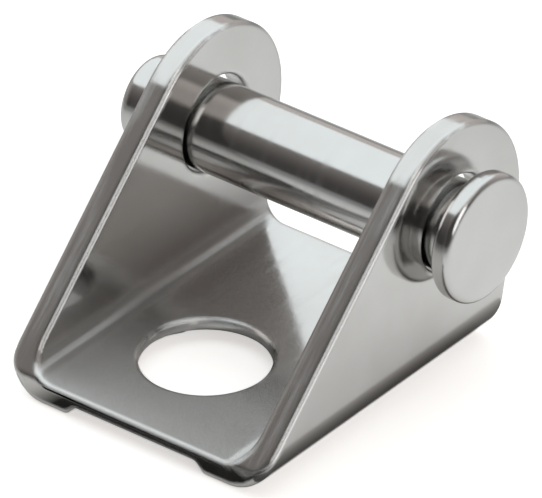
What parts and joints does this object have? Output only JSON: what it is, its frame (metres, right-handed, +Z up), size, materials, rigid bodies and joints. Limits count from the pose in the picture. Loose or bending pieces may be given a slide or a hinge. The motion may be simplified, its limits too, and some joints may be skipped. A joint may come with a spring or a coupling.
{
  "type": "fork thimble",
  "caption": "Polished stainless fork fitting: sloping round-topped cheeks rise from a drilled floor on foot rails and carry a loose headed clevis pin across the gap.",
  "frame": {"origin": "on the line through both cheek holes, midway between the cheeks", "axes": "+X along the clevis pin towards its head, +Y from the sloping front towards the upright back, +Z up from the foot rails through the floor"},
  "size_m": [0.0273, 0.026, 0.0176],
  "materials": {
    "body_steel": "pressed stainless steel, hand-polished nearly to a mirror, with softly rounded edges",
    "pin_steel": "turned stainless steel, polished nearly to a mirror"
  },
  "bodies": {
    "fork": {"fork_body": "body_steel"},
    "pin": {"clevis_pin": "pin_steel"}
  },
  "joints": [
    {"name": "pin_slide", "type": "slide", "parent": "fork", "child": "pin", "axis": [1, 0, 0], "range_m": [-0.0012, 0.025]}
  ]
}
